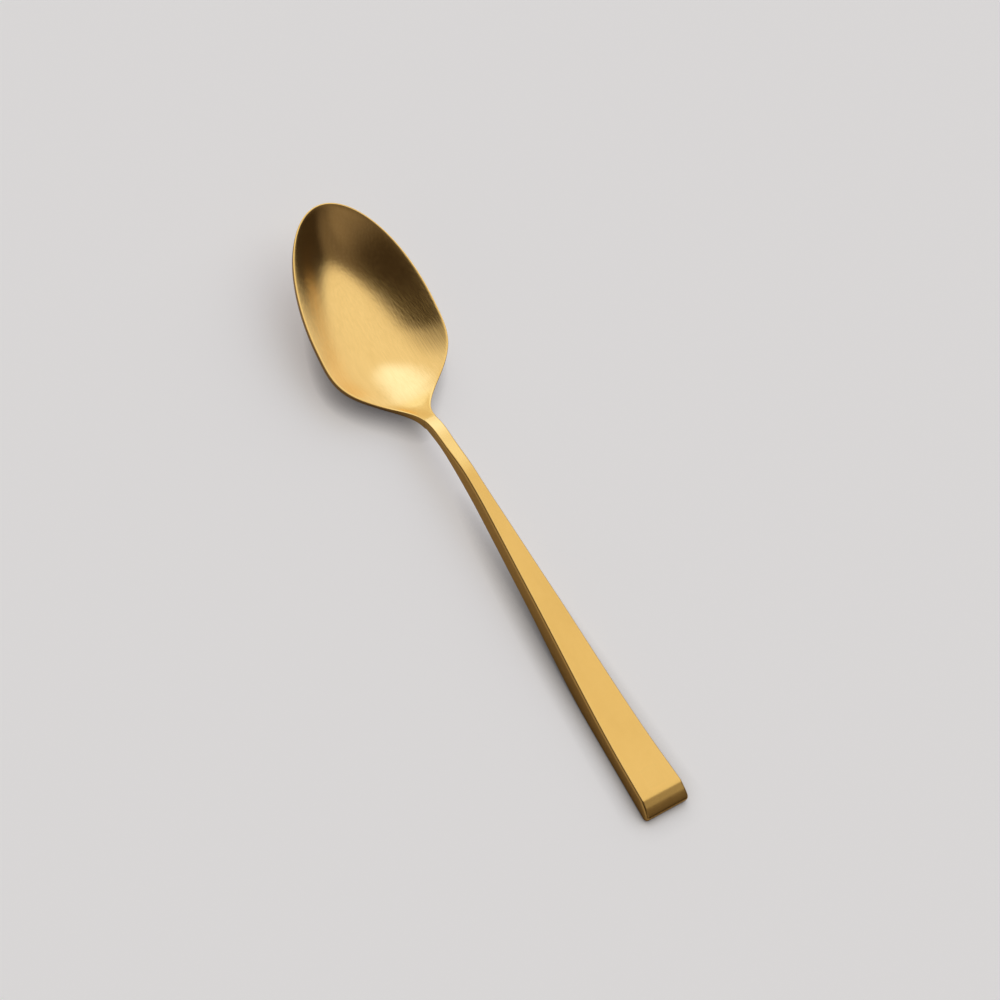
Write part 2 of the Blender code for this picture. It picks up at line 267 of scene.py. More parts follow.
def bottom_height(station):
    """Underside of the handle: follows the top by its thickness, then levels out as the foot."""
    knots = [
        (BOWL_LENGTH, top_height(BOWL_LENGTH) - NECK_THICKNESS),
        (RISE_STATION, RISE_HEIGHT - NECK_THICKNESS),
        (KNEE_STATION, KNEE_HEIGHT - NECK_THICKNESS),
        (CREST_STATION, CREST_HEIGHT - CREST_THICKNESS),
        (MIDDLE_STATION, MIDDLE_HEIGHT - MIDDLE_THICKNESS),
        (FOOT_STATION, 0.0),
    ]
    first_slope = (knots[1][1] - knots[0][1]) / (knots[1][0] - knots[0][0])
    return curve_height(knots, first_slope, station)


def neck_share(station):
    """0 along the bowl, growing to 1 between the end of the rim's plane and the joint."""
    return limited((station - RIM_END_STATION) / (BOWL_LENGTH - RIM_END_STATION))


def edge_height(station):
    """Height of the bowl's trimmed edge, which thickens into the neck."""
    return RIM_EDGE_HEIGHT + (NECK_THICKNESS - RIM_EDGE_HEIGHT) * eased(neck_share(station))


print("joint is", round(top_height(BOWL_LENGTH) / MM, 2), "mm above the table")

# %% [markdown]
# ## Selecting, and starting a piece
# Edit mode works on what is selected, so every step starts by selecting the right edges or faces. By
# hand that is a click with the mouse. In a script it is a list of indices, picked by place. A new
# primitive carries its place and size as a transform, and start_piece puts those into its mesh. Two
# more helpers turn a station into a place, and measure a piece by its points after a step.

# %% Helpers for every new piece


def frame_point(station, y, z):
    """Place in the spoon's frame of a point that is given by its station."""
    return Vector((cad_low.x + station, y, z))


def pick(piece, edges=(), faces=()):
    """Go to edit mode with these edges or faces selected, and nothing else."""
    mesh = piece.data
    bpy.context.tool_settings.mesh_select_mode = (False, bool(edges), bool(faces))
    for part in (mesh.vertices, mesh.edges, mesh.polygons):
        part.foreach_set("select", [False] * len(part))
    for part, picked in ((mesh.edges, edges), (mesh.polygons, faces)):
        for index in picked:
            part[index].select = True
    bpy.ops.object.mode_set(mode="EDIT")


def start_piece(name):
    """Name the primitive that was just added and put its place into its mesh."""
    piece = bpy.context.object
    piece.name = name
    piece.data.name = name
    bpy.ops.object.transform_apply(location=True, rotation=True, scale=True)
    return piece


def sides(piece):
    """Length, width and height of a piece by its points, in millimetres."""
    axes = zip(*(vert.co for vert in piece.data.vertices))
    return [round((max(places) - min(places)) / MM, 2) for places in axes]


print("tip of the bowl is at X", round(frame_point(0.0, 0.0, 0.0).x / MM, 2), "mm")

# %% [markdown]
# ## The blank of the bowl
# The bowl starts as half a ball with a flat ring round it, doubled into a shell. A ball is a good
# start because its rings already run round the hollow as the rim does. The ring becomes the narrow
# land of the rim, and the bridge between the two skins becomes the trimmed edge.

# %% Half a ball, its ring and its second skin
SPOKES = 216
RINGS = 48
BLANK_RADIUS = BOWL_WIDTH / 2 - RIM_LAND
RING_GROWTH = BOWL_WIDTH / 2 / BLANK_RADIUS
SECOND_SKIN_DROP = BOWL_WIDTH
blank_centre = frame_point(DEEPEST_STATION, 0.0, RIM_TIP_HEIGHT)

bpy.ops.object.select_all(action="DESELECT")
bpy.ops.mesh.primitive_uv_sphere_add(
    segments=SPOKES, ring_count=2 * RINGS, radius=BLANK_RADIUS, location=blank_centre)
bowl = start_piece("pressed_bowl")
upper_half = [f.index for f in bowl.data.polygons if f.center.z > blank_centre.z]
pick(bowl, faces=upper_half)
bpy.ops.mesh.delete(type="FACE")
bpy.ops.mesh.select_mode(type="EDGE")
bpy.ops.mesh.select_non_manifold()
bpy.ops.mesh.extrude_edges_move()
bpy.ops.transform.resize(value=(RING_GROWTH, RING_GROWTH, 1.0), center_override=blank_centre)
bpy.ops.mesh.select_all(action="SELECT")
bpy.ops.mesh.duplicate_move(TRANSFORM_OT_translate={"value": (0.0, 0.0, -SECOND_SKIN_DROP)})
bpy.ops.mesh.flip_normals()
bpy.ops.mesh.select_all(action="DESELECT")
bpy.ops.mesh.select_non_manifold()
bpy.ops.mesh.bridge_edge_loops()
bpy.ops.object.mode_set(mode="OBJECT")
print("blank has", len(bowl.data.vertices), "points and", len(bowl.data.polygons), "faces")

# %% [markdown]
# ## How the blank goes round the outline
# A die moves every point of the blank at once, and no single transform does that, so the points are
# placed by formulas. How far a spoke of the ball is turned says where it goes along the outline. The
# spokes close in on the tip, where the outline is round, and a few of them are kept for the straight
# end at the neck.

# %% Places along an outline
HALF_TURN = 0.5
NECK_SPOKES = 9
NECK_TURN = NECK_SPOKES / SPOKES
SLOPE_STEP = 0.05 * MM


def inset_half_width(station, inset):
    """Half of the width inside a line that keeps an even distance from the outline."""
    if station < WIDEST_STATION:
        reach = (WIDEST_STATION - station) / (WIDEST_STATION - inset)
        return (BOWL_WIDTH / 2 - inset) * max(1.0 - reach ** 2, 0.0) ** TIP_FULLNESS
    slope = (half_width(station + SLOPE_STEP) - half_width(station)) / SLOPE_STEP
    return half_width(station) - inset * math.hypot(1.0, slope)


def outline_station(turn, end_station):
    """Station of the outline where it is part of a turn from the middle of the neck."""
    if turn <= NECK_TURN:
        return end_station
    share = (HALF_TURN - turn) / (HALF_TURN - NECK_TURN)
    closing_in = (1.0 - math.cos(math.pi * share)) / 2
    running_out = 1.0 - math.cos(math.pi / 2 * share)
    return end_station * (closing_in + running_out) / 2


def outline_point(turn, start_station, end_station, width_at):
    """Point of an outline: turn is 0 at the neck and half at the tip, on either side."""
    length = end_station - start_station
    station = start_station + outline_station(abs(turn), length)
    across = min(abs(turn) / NECK_TURN, 1.0)
    return station, math.copysign(across * width_at(station), turn)


print("end at the neck has", 2 * NECK_SPOKES + 1, "of", SPOKES, "spokes")

# %% [markdown]
# ## The two dies
# The upper die makes the hollow and the lower one the belly. On each, how far a point is from the
# lowest place of the ball says how far it goes from the middle to the rim. The trimmed edge leans in a
# little under the rim, as a ground edge does, and the belly runs on below the slant of the joint.

# %% Places on the upper and the lower die
SCARF_RUN = 1.5 * MM
EDGE_UNDERCUT = 0.28 * MM


def hollow_half_width(station):
    """Half of the width of the hollow, which leaves an even land round it."""
    return inset_half_width(station, RIM_LAND)


def lower_half_width(station):
    """Half of the width at the lower corner of the trimmed edge, which leans in under the rim."""
    return inset_half_width(station, EDGE_UNDERCUT * (1.0 - neck_share(station)))


def pressed_top(turn, reach):
    """Point of the hollow, from its deepest place to the land."""
    edge_x, edge_y = outline_point(turn, RIM_LAND, HOLLOW_END_STATION, hollow_half_width)
    station = DEEPEST_STATION + (edge_x - DEEPEST_STATION) * reach
    y = edge_y * reach
    across = abs(y) / max(hollow_half_width(station), RIM_LAND / 2)
    drop = BOWL_DEPTH * depth_along(station, RIM_LAND) * depth_across(across, rim_ease(station))
    drop += TAIL_DEPTH * tail_share(station) * depth_across(across, 0.0)
    return frame_point(station, y, top_height(station) - drop)


def pressed_underside(turn, reach):
    """Point of the underside, which runs on below the joint's slant."""
    edge_x, edge_y = outline_point(turn, EDGE_UNDERCUT, BOWL_LENGTH + SCARF_RUN, lower_half_width)
    station = DEEPEST_STATION + (edge_x - DEEPEST_STATION) * reach
    y = edge_y * reach
    across = abs(y) / max(lower_half_width(station), RIM_LAND) if reach < 1.0 else 1.0
    drop = belly_drop(depth_along(station, 0.0) * depth_across(across, 0.0))
    drop += edge_height(station) - RIM_EDGE_HEIGHT
    return frame_point(station, y, top_height(station) - drop)


print("hollow is", round(2 * hollow_half_width(WIDEST_STATION) / MM, 2), "mm wide inside its land")

# %% [markdown]
# ## Pressing
# Every point of the blank is now either on a die or on the ring between them. The rings that will be
# the corners of the rim are noted first, while they are still easy to tell apart.

# %% Note the rim's rings, then press every point
RING_MIDDLE = (BLANK_RADIUS + BOWL_WIDTH / 2) / 2
LEVEL_MARGIN = 0.01 * BLANK_RADIUS


def on_ring(offset):
    """Whether a point of the blank is on the outside of its flat ring."""
    return math.hypot(offset.x, offset.y) > RING_MIDDLE


def on_second_skin(offset):
    """Whether a point of the blank is on its lower skin."""
    return offset.z < -SECOND_SKIN_DROP / 2


def pressed(offset):
    """Where the dies take a point of the blank, which is given from the blank's centre."""
    turn = math.atan2(offset.y, offset.x) / (2.0 * math.pi)
    height = offset.z + SECOND_SKIN_DROP if on_second_skin(offset) else offset.z
    reach = math.acos(limited(-height / BLANK_RADIUS)) / (math.pi / 2)
    if on_second_skin(offset):
        return pressed_underside(turn, 1.0 if on_ring(offset) else reach * (1.0 - 1.0 / RINGS))
    if on_ring(offset):
        station, y = outline_point(turn, 0.0, BOWL_LENGTH, half_width)
        return frame_point(station, y, top_height(station))
    return pressed_top(turn, reach)


offsets = [vert.co - blank_centre for vert in bowl.data.vertices]
upper_rim = {i for i, o in enumerate(offsets) if on_ring(o) and not on_second_skin(o)}
lower_rim = {i for i, o in enumerate(offsets) if on_ring(o) and on_second_skin(o)}
hollow_rim = {i for i, o in enumerate(offsets) if abs(o.z) < LEVEL_MARGIN and not on_ring(o)}
for vert, offset in zip(bowl.data.vertices, offsets):
    vert.co = pressed(offset)
print("pressed to", sides(bowl), "mm")

# %% [markdown]
# ## The rim
# After pressing, the edge is trimmed and the burrs are taken off, which leaves a small round on both
# of its corners and an even smaller one where the land meets the hollow. Bevel does the same to a
# selected edge. A bevel numbers the edges anew, so the inner ones carry a seam until their turn comes.
# The end at the neck is left square, because the handle meets it there.

# %% Round the edges of the rim
RIM_ROUND, RIM_SEGMENTS = 0.15 * MM, 4
LAND_ROUND, LAND_SEGMENTS = 0.07 * MM, 2
ROUND_PROFILE = 0.5
NECK_MARGIN = 0.01 * MM


def edges_along(piece, ring):
    """Edges between points of a ring, without those across the end of the neck."""
    end_x = max(piece.data.vertices[i].co.x for i in ring) - NECK_MARGIN
    found = []
    for edge in piece.data.edges:
        if all(i in ring for i in edge.vertices):
            if any(piece.data.vertices[i].co.x < end_x for i in edge.vertices):
                found.append(edge.index)
    return found


def round_edges(piece, edges, radius, segments):
    """Bevel some edges of a piece."""
    pick(piece, edges=edges)
    bpy.ops.mesh.bevel(
        offset=radius, segments=segments, profile=ROUND_PROFILE, affect="EDGES", clamp_overlap=False)
    bpy.ops.object.mode_set(mode="OBJECT")


outer_edges = edges_along(bowl, upper_rim) + edges_along(bowl, lower_rim)
for index in edges_along(bowl, hollow_rim):
    bowl.data.edges[index].use_seam = True
round_edges(bowl, outer_edges, RIM_ROUND, RIM_SEGMENTS)
inner_edges = [edge.index for edge in bowl.data.edges if edge.use_seam]
round_edges(bowl, inner_edges, LAND_ROUND, LAND_SEGMENTS)
bpy.ops.object.mode_set(mode="EDIT")
bpy.ops.mesh.select_all(action="SELECT")
bpy.ops.mesh.mark_seam(clear=True)
bpy.ops.mesh.normals_make_consistent(inside=False)
bpy.ops.object.mode_set(mode="OBJECT")
print("bowl has", len(bowl.data.polygons), "faces")

# %% [markdown]
# ## The nose of the handle
# The square end of the handle is dressed by hand: a facet falls away behind a soft crease, rolls down
# to a thin tip, and meets a rounded toe from below, and the corners seen from above are rounded too.
# These are all changes to the width and the heights of the bar, so they are formulas of the station.

# %% Width and heights of the handle
NOSE_EASE = 0.9 * MM
NOSE_START_STATION = NOSE_STATION - NOSE_EASE / 2
NOSE_CORNER = 0.8 * MM
NOSE_FACET = 1.7 * MM
NOSE_TILT = math.radians(19.0)
NOSE_ROLL = 0.62 * MM
NOSE_TIP_THICKNESS = 0.7 * MM
TOE_LENGTH = 1.2 * MM


def rounding(share):
    """0 at a share of 0, and 1 at a share of 1, by a quarter of a circle."""
    return 1.0 - math.sqrt(1.0 - share ** 2)


def nose_drop(station):
    """How far the top has dropped on the nose: an eased facet first, then the roll to the tip."""
    past = max(station - NOSE_START_STATION, 0.0)
    run = past ** 2 / (2.0 * NOSE_EASE) if past < NOSE_EASE else past - NOSE_EASE / 2
    rolled = limited((station - NOSE_STATION - NOSE_FACET) / (NOSE_LENGTH - NOSE_FACET))
    return run * math.tan(NOSE_TILT) + NOSE_ROLL * rounding(rolled)


def handle_half_width(station):
    """Half of the handle's width, with the corners of its end rounded."""
    past = min(max(station - (OVERALL_LENGTH - NOSE_CORNER), 0.0), NOSE_CORNER)
    return half_width(station) - NOSE_CORNER + math.sqrt(NOSE_CORNER ** 2 - past ** 2)


def handle_heights(station):
    """Bottom and top of the handle, with the toe of the nose rounded underneath."""
    tip_low = FOOT_HEIGHT - nose_drop(OVERALL_LENGTH) - NOSE_TIP_THICKNESS
    toe = limited(1.0 - (OVERALL_LENGTH - station) / TOE_LENGTH)
    low = bottom_height(station) + tip_low * rounding(toe)
    return low, top_height(station) - nose_drop(station)


print("nose drops", round(nose_drop(OVERALL_LENGTH) / MM, 2), "mm to its tip")

# %% [markdown]
# ## The bar of the handle
# The handle is forged from a bar, and a bar is a chain of cross sections. A block as wide and as
# thick as the neck is pulled out section by section, by extruding its end face over and over. The
# sections are even along the handle and close in towards the tip, where the nose curves most.

# %% Pull the bar out, section by section
JOINT_LINE = 0.02 * MM
HANDLE_STEPS = 110
NOSE_STEPS = 36
FACING_END = 0.7
SAME_LINE = 0.001 * MM

joint_station = BOWL_LENGTH + JOINT_LINE
handle_run = NOSE_START_STATION - joint_station
nose_run = OVERALL_LENGTH - NOSE_START_STATION
stations = [joint_station + handle_run * step / HANDLE_STEPS for step in range(HANDLE_STEPS + 1)]
for step in range(1, NOSE_STEPS + 1):
    closing_in = math.sin(math.pi / 2 * step / NOSE_STEPS)
    stations.append(NOSE_START_STATION + nose_run * closing_in)

first_low, first_high = handle_heights(joint_station)
block_size = (stations[1] - stations[0], NECK_WIDTH, first_high - first_low)
block_centre = frame_point((stations[0] + stations[1]) / 2, 0.0, (first_low + first_high) / 2)
bpy.ops.object.select_all(action="DESELECT")
bpy.ops.mesh.primitive_cube_add(size=1.0, location=block_centre, scale=block_size)
handle = start_piece("forged_handle")
pick(handle, faces=[f.index for f in handle.data.polygons if f.normal.x > FACING_END])
for station, after in zip(stations[1:], stations[2:]):
    bpy.ops.mesh.extrude_region_move(TRANSFORM_OT_translate={"value": (after - station, 0.0, 0.0)})
bpy.ops.object.mode_set(mode="OBJECT")
long_edges = []
for edge in handle.data.edges:
    one, two = (handle.data.vertices[i].co for i in edge.vertices)
    if abs(one.y - two.y) + abs(one.z - two.z) < SAME_LINE:
        long_edges.append(edge.index)
print("bar has", len(handle.data.vertices), "corners on", len(stations), "sections")

# %% [markdown]
# ## Forging the bar
# A hammer gives each section its width and thickness. Here the four corners of each section are set
# to those of its station. The first sections lean, because the joint with the bowl is a slanted one,
# and the lean fades out along the neck.

# %% Set the corners of every section
SCARF_FADE_LENGTH = 7.5 * MM


def corner(station, side, up):
    """Corner of the section at a station, with the lower ones shifted near the joint."""
    if not up:
        lean = max(1.0 - (station - BOWL_LENGTH) / SCARF_FADE_LENGTH, 0.0)
        station += SCARF_RUN * lean
    low, high = handle_heights(station)
    return frame_point(station, math.copysign(handle_half_width(station), side), high if up else low)


for vert in handle.data.vertices:
    station = min(stations, key=lambda s: abs(cad_low.x + s - vert.co.x))
    vert.co = corner(station, vert.co.y, vert.co.z > block_centre.z)
print("forged to", sides(handle), "mm")

# %% [markdown]
# ## Soft edges on the handle
# A forged handle is tumbled until its long edges feel soft. A Bevel modifier with a weight on each
# edge lets the rounding start as small as the rim's at the joint, grow along the neck, and shrink
# where the nose gets thin. It runs out at the very end, where two rounds would cut into each other.

# %% Round the four long edges
EDGE_RADIUS = 0.6 * MM
EDGE_GROWTH_LENGTH = 9.0 * MM
EDGE_LIMIT = 0.4
EDGE_SEGMENTS = 6
EDGE_FADE_LENGTH = 0.5 * MM


def edge_radius(station):
    """Radius of the long edges at a station, which runs out where the end is already round."""
    share = limited((station - BOWL_LENGTH) / EDGE_GROWTH_LENGTH)
    low, high = handle_heights(station)
    radius = min(RIM_ROUND + (EDGE_RADIUS - RIM_ROUND) * share, (high - low) * EDGE_LIMIT)
    return radius * math.sqrt(min((OVERALL_LENGTH - station) / EDGE_FADE_LENGTH, 1.0))


weights = handle.data.attributes.new("bevel_weight_edge", "FLOAT", "EDGE")
for index in long_edges:
    one, two = (handle.data.vertices[i].co for i in handle.data.edges[index].vertices)
    weights.data[index].value = edge_radius((one.x + two.x) / 2 - cad_low.x) / EDGE_RADIUS
soft_edges = handle.modifiers.new("soft_edges", "BEVEL")
soft_edges.limit_method = "WEIGHT"
soft_edges.width = EDGE_RADIUS
soft_edges.segments = EDGE_SEGMENTS
soft_edges.use_clamp_overlap = False
bpy.ops.object.modifier_apply(modifier=soft_edges.name)
print("handle has", len(handle.data.polygons), "faces after rounding", len(long_edges), "edges")

# %% [markdown]
# ## Smooth shading
# Polished metal shows every facet, so both pieces are shaded smooth, with a crease only where the
# surface turns sharply. Weighted normals then keep the wide faces flat beside their rounded edges,
# which otherwise look swollen in a reflection.

# %% Shade both pieces smooth
CREASE_ANGLE = math.radians(40.0)


def shade(piece):
    """Smooth shading with flat faces kept flat."""
    bpy.ops.object.select_all(action="DESELECT")
    bpy.context.view_layer.objects.active = piece
    piece.select_set(True)
    bpy.ops.object.shade_smooth_by_angle(angle=CREASE_ANGLE)
    flats = piece.modifiers.new("flat_faces", "WEIGHTED_NORMAL")
    flats.keep_sharp = True
    bpy.ops.object.modifier_apply(modifier=flats.name)


for piece in (bowl, handle):
    shade(piece)
    print(piece.name, "is smooth below", round(math.degrees(CREASE_ANGLE)), "degrees")

# %% [markdown]
# ## Where the finish wears
# Fingers and cloths polish a coat most on its edges. The widest angle between any two of the faces
# round a point shows how sharply the surface turns there. That is stored on the points as a number
# that the finish can read. Painting it by hand would work too, but then it would be wrong after the
# next change of shape.

# %% Mark the edges on the points
FLAT_TURN = math.radians(4.0)
SHARP_TURN = math.radians(13.0)
ON_EDGE = 0.5


def mark_edges(piece):
    """Store on each point how much of an edge it is on, from 0 to 1, and count the edge points."""
    mesh = piece.data
    around = [[] for vert in mesh.vertices]
    for face in mesh.polygons:
        for index in face.vertices:
            around[index].append(face.normal)
    mark = mesh.attributes.new("edge_wear", "FLOAT", "POINT")
    for index, normals in enumerate(around):
        turn = max(one.angle(two, 0.0) for one in normals for two in normals)
        mark.data[index].value = limited((turn - FLAT_TURN) / (SHARP_TURN - FLAT_TURN))
    return sum(wear.value > ON_EDGE for wear in mark.data)


for piece in (bowl, handle):
    print(piece.name, "has", mark_edges(piece), "points on edges")

# %% [markdown]
# ## The direction of the brush
# Brushing leaves scratches along the spoon, so a reflection is smeared across it. The shader takes
# that direction from a UV map. Here U runs across the spoon and V along it. A little of the height
# goes into both, so that upright sides and the upright end get a direction too.

# %% Lay a UV map across the spoon
SIDE_SHARE = 0.3
END_SHARE = 0.05
MAP_MIDDLE = 0.5


def lay_brush_map(piece):
    """Replace the UV maps of a piece by one with U across the spoon and V along it."""
    mesh = piece.data
    while mesh.uv_layers:
        mesh.uv_layers.remove(mesh.uv_layers[0])
    layer = mesh.uv_layers.new(name="brush_map")
    for loop in mesh.loops:
        place = mesh.vertices[loop.vertex_index].co
        across = place.y + SIDE_SHARE * place.z
        along = place.x - cad_low.x + END_SHARE * place.z
        layer.data[loop.index].uv = (MAP_MIDDLE + across / OVERALL_LENGTH, along / OVERALL_LENGTH)


for piece in (bowl, handle):
    lay_brush_map(piece)
    print(piece.name, "has a brush map on", len(piece.data.loops), "corners")

# %% [markdown]
# ## Nodes by name
# A finish is a drawing made of nodes, and a few kinds of node come back in all of them: a sum, a fade
# between two values, a mix of two colours. A helper for each keeps the finishes short enough to read.
# The Mix node has several sockets of the same name, so its colour sockets are found by their number.

# %% Helpers for shader nodes
MIX_SHARE, MIX_ONE, MIX_TWO = 0, 6, 7
MIX_RESULT = 2


def feed(tree, socket, value):
    """Link a socket to another node's output, or set it if the value is a plain one."""
    if isinstance(value, bpy.types.NodeSocket):
        tree.links.new(value, socket)
    else:
        socket.default_value = value


def add_math(tree, operation, *values):
    """Math node on sockets or numbers, as its output socket."""
    node = tree.nodes.new("ShaderNodeMath")
    node.operation = operation
    for socket, value in zip(node.inputs, values):
        feed(tree, socket, value)
    return node.outputs["Value"]


def fade(tree, value, none_at, full_at, way="SMOOTHSTEP"):
    """0 to 1 while a value goes from one number or socket to another."""
    node = tree.nodes.new("ShaderNodeMapRange")
    node.interpolation_type = way
    feed(tree, node.inputs["Value"], value)
    feed(tree, node.inputs["From Min"], none_at)
    feed(tree, node.inputs["From Max"], full_at)
    return node.outputs["Result"]


def mix_colour(tree, share, one, two):
    """Colour between two colours, each a socket or four numbers."""
    node = tree.nodes.new("ShaderNodeMix")
    node.data_type = "RGBA"
    feed(tree, node.inputs[MIX_SHARE], share)
    feed(tree, node.inputs[MIX_ONE], one)
    feed(tree, node.inputs[MIX_TWO], two)
    return node.outputs[MIX_RESULT]


def split_axes(tree, place):
    """The three numbers of a place or a direction, as sockets by name."""
    node = tree.nodes.new("ShaderNodeSeparateXYZ")
    feed(tree, node.inputs["Vector"], place)
    return node.outputs


print("materials before the first finish:", len(bpy.data.materials))

# %% [markdown]
# ## Brushed lines and satin clouds
# Fine lines run along the whole spoon, clear in the bowl and faint on the handle. A spoon that has
# been wiped and stacked also has faint clouds in its satin. Both are noise that is stretched along X,
# with its contrast raised. Both finishes use them, so they are node groups, and each finish sets for
# itself how fine they are and how long they get.

# %% The groups for lines and clouds
NOISE_LOW, NOISE_HIGH = 0.3, 0.7
LINE_DETAIL = 4.0
CLOUD_DETAIL = 2.0


def new_group(name, inputs, output):
    """Empty node group with number sockets: the group, its inputs by name, and its output."""
    group = bpy.data.node_groups.new(name, "ShaderNodeTree")
    for label in inputs:
        group.interface.new_socket(label, in_out="INPUT", socket_type="NodeSocketFloat")
    group.interface.new_socket(output, in_out="OUTPUT", socket_type="NodeSocketFloat")
    entry = group.nodes.new("NodeGroupInput")
    leave = group.nodes.new("NodeGroupOutput")
    return group, entry.outputs, leave.inputs[output]


def stretched_noise_group(name, output, detail, way):
    """Group for noise with so many waves to the metre across X, and stretched along X."""
    group, given, result = new_group(name, ["Fineness", "Stretch"], output)
    axes = split_axes(group, group.nodes.new("ShaderNodeTexCoord").outputs["Object"])
    join = group.nodes.new("ShaderNodeCombineXYZ")
    feed(group, join.inputs["X"], add_math(group, "DIVIDE", axes["X"], given["Stretch"]))
    feed(group, join.inputs["Y"], axes["Y"])
    feed(group, join.inputs["Z"], axes["Z"])
    noise = group.nodes.new("ShaderNodeTexNoise")
    noise.inputs["Detail"].default_value = detail
    feed(group, noise.inputs["Vector"], join.outputs["Vector"])
    feed(group, noise.inputs["Scale"], given["Fineness"])
    feed(group, result, fade(group, noise.outputs["Fac"], NOISE_LOW, NOISE_HIGH, way))
    return group


brushed_lines = stretched_noise_group("brushed_lines", "Lines", LINE_DETAIL, "LINEAR")
satin_clouds = stretched_noise_group("satin_clouds", "Clouds", CLOUD_DETAIL, "SMOOTHSTEP")
print("groups", brushed_lines.name, "and", satin_clouds.name, "with", len(brushed_lines.nodes), "nodes each")

# %% [markdown]
# ## Polished edges, and where a paler sheen is painted
# Edges shine a little more than flats. Their group takes the edge mark that was stored on the points
# and breaks it up with noise, so that the shine isn't an even stripe. The coat is also painted paler
# over the bowl, a painted highlight that whitens its bright reflections, and this stops near the neck.
# The second group says how much of that painted sheen a place gets, between two places along X that
# each finish sets for itself.

# %% The groups for polished edges and for the painted sheen


def polished_edges_group():
    """Group for the edge mark, broken up by noise."""
    group, given, result = new_group("polished_edges", ["Fineness", "Evenness"], "Polish")
    noise = group.nodes.new("ShaderNodeTexNoise")
    feed(group, noise.inputs["Vector"], group.nodes.new("ShaderNodeTexCoord").outputs["Object"])
    feed(group, noise.inputs["Scale"], given["Fineness"])
    mark = group.nodes.new("ShaderNodeAttribute")
    mark.attribute_name = "edge_wear"
    broken = add_math(group, "ADD", noise.outputs["Fac"], given["Evenness"])
    feed(group, result, add_math(group, "MULTIPLY", broken, mark.outputs["Fac"]))
    return group


# The share of the painted sheen: a paler coat that stands in for whiter highlights.
def painted_sheen_zone_group():
    """Group for the share of the painted sheen, which is 1 up to one X and falls to 0 at another."""
    group, given, result = new_group("painted_sheen_zone", ["Full", "End"], "Share")
    axes = split_axes(group, group.nodes.new("ShaderNodeTexCoord").outputs["Object"])
    feed(group, result, fade(group, axes["X"], given["End"], given["Full"]))
    return group


polished_edges = polished_edges_group()
painted_sheen_zone = painted_sheen_zone_group()
print("groups", polished_edges.name, "and", painted_sheen_zone.name)

# %% [markdown]
# ## The colour of the coat
# The gold is a hard coat a few thousandths of a millimetre thick, so the metal under it still gives
# the reflections. Its tone isn't even: lines and clouds move it between a deep and a light gold, a paler
# copy of both is painted over the bowl and the start of the neck as a painted highlight that whitens
# their bright reflections, and polished edges have a tone of their own. Five tones that are mixed by
# those shares are easier to match to a real coat than one colour with noise on top.

# %% Gold tones and how they mix
GOLD_LIGHT = (0.82, 0.505, 0.142, 1.0)
GOLD_DEEP = (0.74, 0.45, 0.122, 1.0)
# The next two tones are paler copies of the first two, painted in as a highlight that whitens bright
# reflections.
GOLD_SHEEN_LIGHT = (0.91, 0.615, 0.230, 1.0)
GOLD_SHEEN_DEEP = (0.82, 0.535, 0.185, 1.0)
GOLD_POLISHED = (0.84, 0.54, 0.17, 1.0)


def gold_coat(tree, uneven, sheen_share, polish):
    """Colour of the coat, from the shares of lines and clouds, of the painted sheen and of polish."""
    plain_coat = mix_colour(tree, uneven, GOLD_DEEP, GOLD_LIGHT)
    # Painted sheen: the paler tones where bright reflections should come out whiter.
    sheen_coat = mix_colour(tree, uneven, GOLD_SHEEN_DEEP, GOLD_SHEEN_LIGHT)
    coat = mix_colour(tree, sheen_share, plain_coat, sheen_coat)
    return mix_colour(tree, polish, coat, GOLD_POLISHED)


print("gold goes from", GOLD_DEEP[:3], "to", GOLD_SHEEN_LIGHT[:3])

# %% [markdown]
# ## What the brush does to the surface
# Lines and clouds also move the roughness a little up and down, and polish takes it down on edges. The
# lines lift the surface by a hair, which a bump can show because it is far too small to model. The
# brush map gives the direction in which reflections are smeared.

# %% Roughness, bump and direction
ROUGHNESS_SPREAD = 0.06
POLISH_GAIN = 0.06
LINE_HEIGHT = 0.02 * MM


def add_roughness(tree, shader, uneven, polish, roughness):
    """Roughness that goes up and down by lines and clouds, and down where it is polished."""
    lowest = roughness - ROUGHNESS_SPREAD / 2
    unpolished = add_math(tree, "MULTIPLY_ADD", uneven, ROUGHNESS_SPREAD, lowest)
    gain = add_math(tree, "MULTIPLY", polish, POLISH_GAIN)
    feed(tree, shader.inputs["Roughness"], add_math(tree, "SUBTRACT", unpolished, gain))


def add_brush_marks(tree, shader, lines, line_bump):
    """The bump of the lines, and the direction of the smear."""
    bump = tree.nodes.new("ShaderNodeBump")
    bump.inputs["Strength"].default_value = line_bump
    bump.inputs["Distance"].default_value = LINE_HEIGHT
    feed(tree, bump.inputs["Height"], lines)
    feed(tree, shader.inputs["Normal"], bump.outputs["Normal"])
    direction = tree.nodes.new("ShaderNodeTangent")
    direction.direction_type = "UV_MAP"
    direction.uv_map = "brush_map"
    feed(tree, shader.inputs["Tangent"], direction.outputs["Tangent"])


print("lines are up to", round(LINE_HEIGHT / MM, 3), "mm high")

# %% [markdown]
# ## Brushed gold on the bowl
# One function puts the groups, the coat and the brush marks together, so that the two finishes differ
# only in their numbers. The bowl gets clear lines and crisp reflections, and its painted sheen, a paler
# coat that whitens bright reflections, stops a few millimetres before the neck.

# %% The brushed finish of the bowl
LINES_PER_METRE, LINE_STRETCH = 3000.0, 60.0
CLOUDS_PER_METRE, CLOUD_STRETCH = 160.0, 3.0
POLISH_PER_METRE, POLISH_EVENNESS = 700.0, 0.35


def place_group(tree, group, **values):
    """Put a group in a material with its own values, as its output socket."""
    node = tree.nodes.new("ShaderNodeGroup")
    node.node_tree = group
    for label, value in values.items():
        node.inputs[label].default_value = value
    return node.outputs[0]


